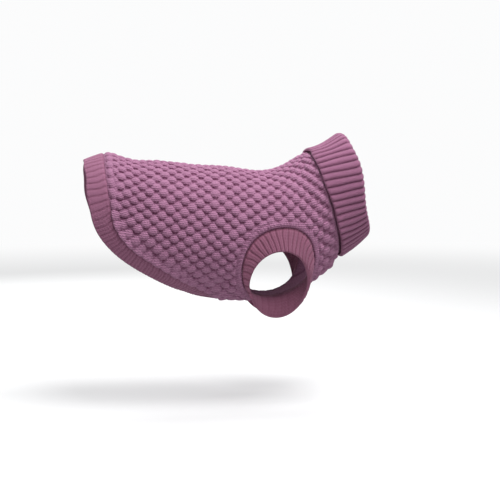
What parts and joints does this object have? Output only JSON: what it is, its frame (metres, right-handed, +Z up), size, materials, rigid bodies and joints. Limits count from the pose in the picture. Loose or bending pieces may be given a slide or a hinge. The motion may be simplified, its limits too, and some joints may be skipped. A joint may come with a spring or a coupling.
{
  "type": "dog sweater",
  "caption": "Knitted roll-neck jumper for a small dog in its worn hollow shape, with a ribbed turned-down collar, ribbed front-leg cuffs and a ribbed hem cut back at the belly.",
  "frame": {"origin": "on the middle of the back at the withers, where the wearer carries the garment", "axes": "+X to the head, +Z up, -Y the garment's right side"},
  "size_m": [0.3405, 0.1374, 0.2198],
  "materials": {
    "bobble_knit": "matt, raised bobble knit in dusty mauve pink",
    "rib_knit": "matt rib knit in dusty mauve pink"
  },
  "bodies": {
    "root": {"back_panel": "bobble_knit", "belly_panel": "bobble_knit", "roll_collar": "rib_knit", "hem_band": "rib_knit", "cuff_right": "rib_knit", "cuff_left": "rib_knit"}
  },
  "joints": []
}
